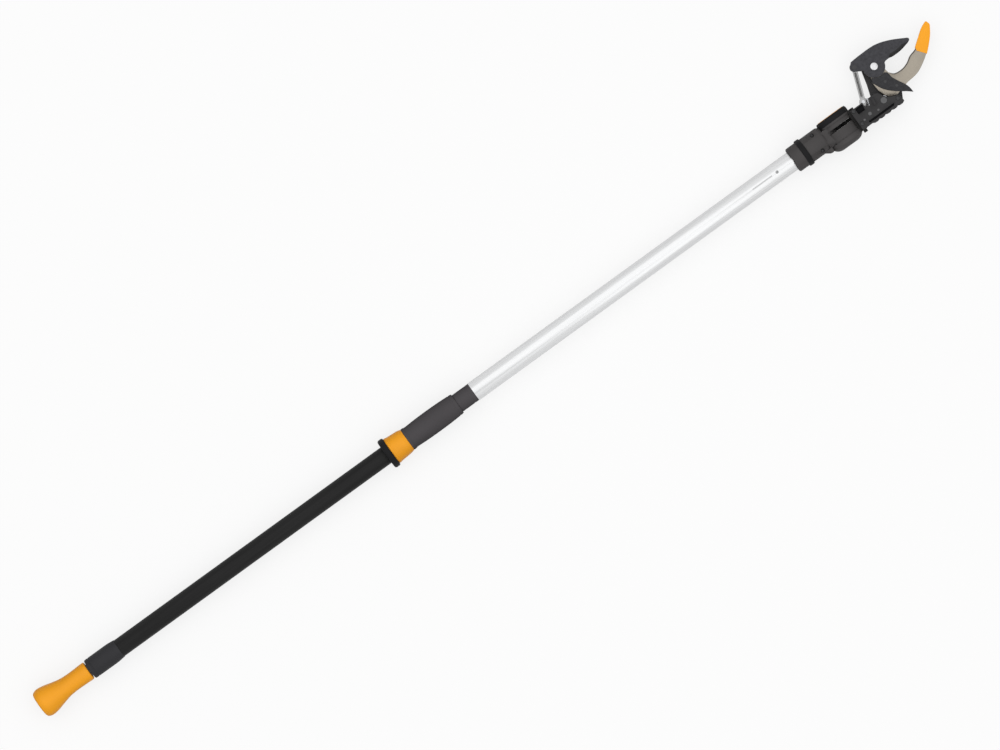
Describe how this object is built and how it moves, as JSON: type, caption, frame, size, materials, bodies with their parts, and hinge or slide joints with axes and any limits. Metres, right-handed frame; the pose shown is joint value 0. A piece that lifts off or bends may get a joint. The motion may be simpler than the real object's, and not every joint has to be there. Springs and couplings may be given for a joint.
{
  "type": "tree pruner pole",
  "caption": "Pole pruner: two-part tube, sliding grip, pull knob and a tilting head whose geared blade closes on a fixed hook.",
  "frame": {"origin": "centre of the flat butt face of the end knob, on the pole axis", "axes": "+X along the pole towards the jaws, +Y towards the lock button, +Z out of the jaw plane, up as it lies"},
  "size_m": [1.581, 0.0957, 0.05],
  "materials": {
    "orange_plastic": "satin moulded",
    "black_plastic": "matt moulded",
    "grip_rubber": "matt",
    "housing_plastic": "fine grained",
    "dark_paint_tube": "satin black coat",
    "silver_aluminium": "satin anodised",
    "inner_plastic": "plain",
    "coated_steel": "dark low-friction coat",
    "bright_steel": "ground",
    "steel_hardware": "zinc plated",
    "cord": "braided"
  },
  "bodies": {
    "pole": {"end_ferrule": "black_plastic", "dark_tube": "dark_paint_tube", "joint_ferrule": "black_plastic", "silver_tube": "silver_aluminium", "tube_rivets": "steel_hardware", "cord_guide": "inner_plastic", "housing_front": "housing_plastic", "housing_rear": "housing_plastic", "housing_screws": "steel_hardware", "socket_collar": "black_plastic", "tilt_post": "steel_hardware", "tilt_bolt": "steel_hardware"},
    "knob": {"end_knob": "orange_plastic", "knob_stem": "inner_plastic", "knob_cord": "cord"},
    "grip": {"grip_flange": "black_plastic", "grip_ring": "orange_plastic", "grip_sleeve": "grip_rubber", "grip_bush": "inner_plastic", "cord_carriage": "inner_plastic", "carriage_pin": "steel_hardware", "pull_cord": "cord"},
    "head": {"yoke": "black_plastic", "tilt_cap": "black_plastic", "bezel": "black_plastic", "button_spring": "steel_hardware", "front_cheek": "black_plastic", "rear_cheek": "black_plastic", "cheek_screws": "steel_hardware", "frame_spacer": "steel_hardware", "cheek_studs": "steel_hardware", "head_cord": "cord", "hook": "bright_steel", "hook_tip": "orange_plastic", "jaw_guard": "coated_steel", "jaw_rivet_pair": "steel_hardware", "pivot_bolt": "steel_hardware", "pivot_nut": "steel_hardware", "crank_axle": "steel_hardware", "drum_axle": "steel_hardware", "return_spring": "steel_hardware"},
    "button": {"lock_button": "orange_plastic", "lock_stem": "steel_hardware"},
    "cutter": {"blade": "coated_steel", "upper_link_pin": "steel_hardware"},
    "link": {"link_bar": "bright_steel"},
    "crank": {"crank_gear": "steel_hardware", "lower_link_pin": "steel_hardware"},
    "drum": {"cord_drum": "inner_plastic", "drum_cord": "cord"}
  },
  "joints": [
    {"name": "grip_slide", "type": "slide", "parent": "pole", "child": "grip", "axis": [-1, 0, 0], "range_m": [-0.01343, 0.02932], "stiffness_N_per_m": 60, "deforming": ["pull_cord", "drum_cord", "knob_cord"]},
    {"name": "knob_pull", "type": "slide", "parent": "pole", "child": "knob", "axis": [-1, 0, 0], "range_m": [0, 0.05]},
    {"name": "head_tilt", "type": "hinge", "parent": "pole", "child": "head", "pos_m": [1.391, 0, 0], "axis": [0, 1, 0], "range_deg": [-115, 115]},
    {"name": "button_press", "type": "slide", "parent": "head", "child": "button", "axis": [0, -1, 0], "range_m": [0, 0.003], "stiffness_N_per_m": 800, "deforming": ["button_spring"]},
    {"name": "blade_swing", "type": "hinge", "parent": "head", "child": "cutter", "pos_m": [1.4816, 0.0406, 0], "axis": [0, 0, -1], "range_deg": [-22, 48]},
    {"name": "link_swing", "type": "hinge", "parent": "cutter", "child": "link", "pos_m": [1.4583, 0.0558, 0], "axis": [0, 0, 1], "range_deg": [-22, 48]},
    {"name": "crank_turn", "type": "hinge", "parent": "head", "child": "crank", "pos_m": [1.464, -0.0061, 0], "axis": [0, 0, -1], "range_deg": [-22, 48]},
    {"name": "drum_turn", "type": "hinge", "parent": "head", "child": "drum", "pos_m": [1.43728, -0.01, 0], "axis": [0, 0, 1], "range_deg": [-77, 168]}
  ],
  "couplings": [
    {"joint": "blade_swing", "follows": "grip_slide", "rad_per_m": 28.571},
    {"joint": "link_swing", "follows": "grip_slide", "rad_per_m": 28.571},
    {"joint": "crank_turn", "follows": "grip_slide", "rad_per_m": 28.571},
    {"joint": "drum_turn", "follows": "grip_slide", "rad_per_m": 100}
  ]
}
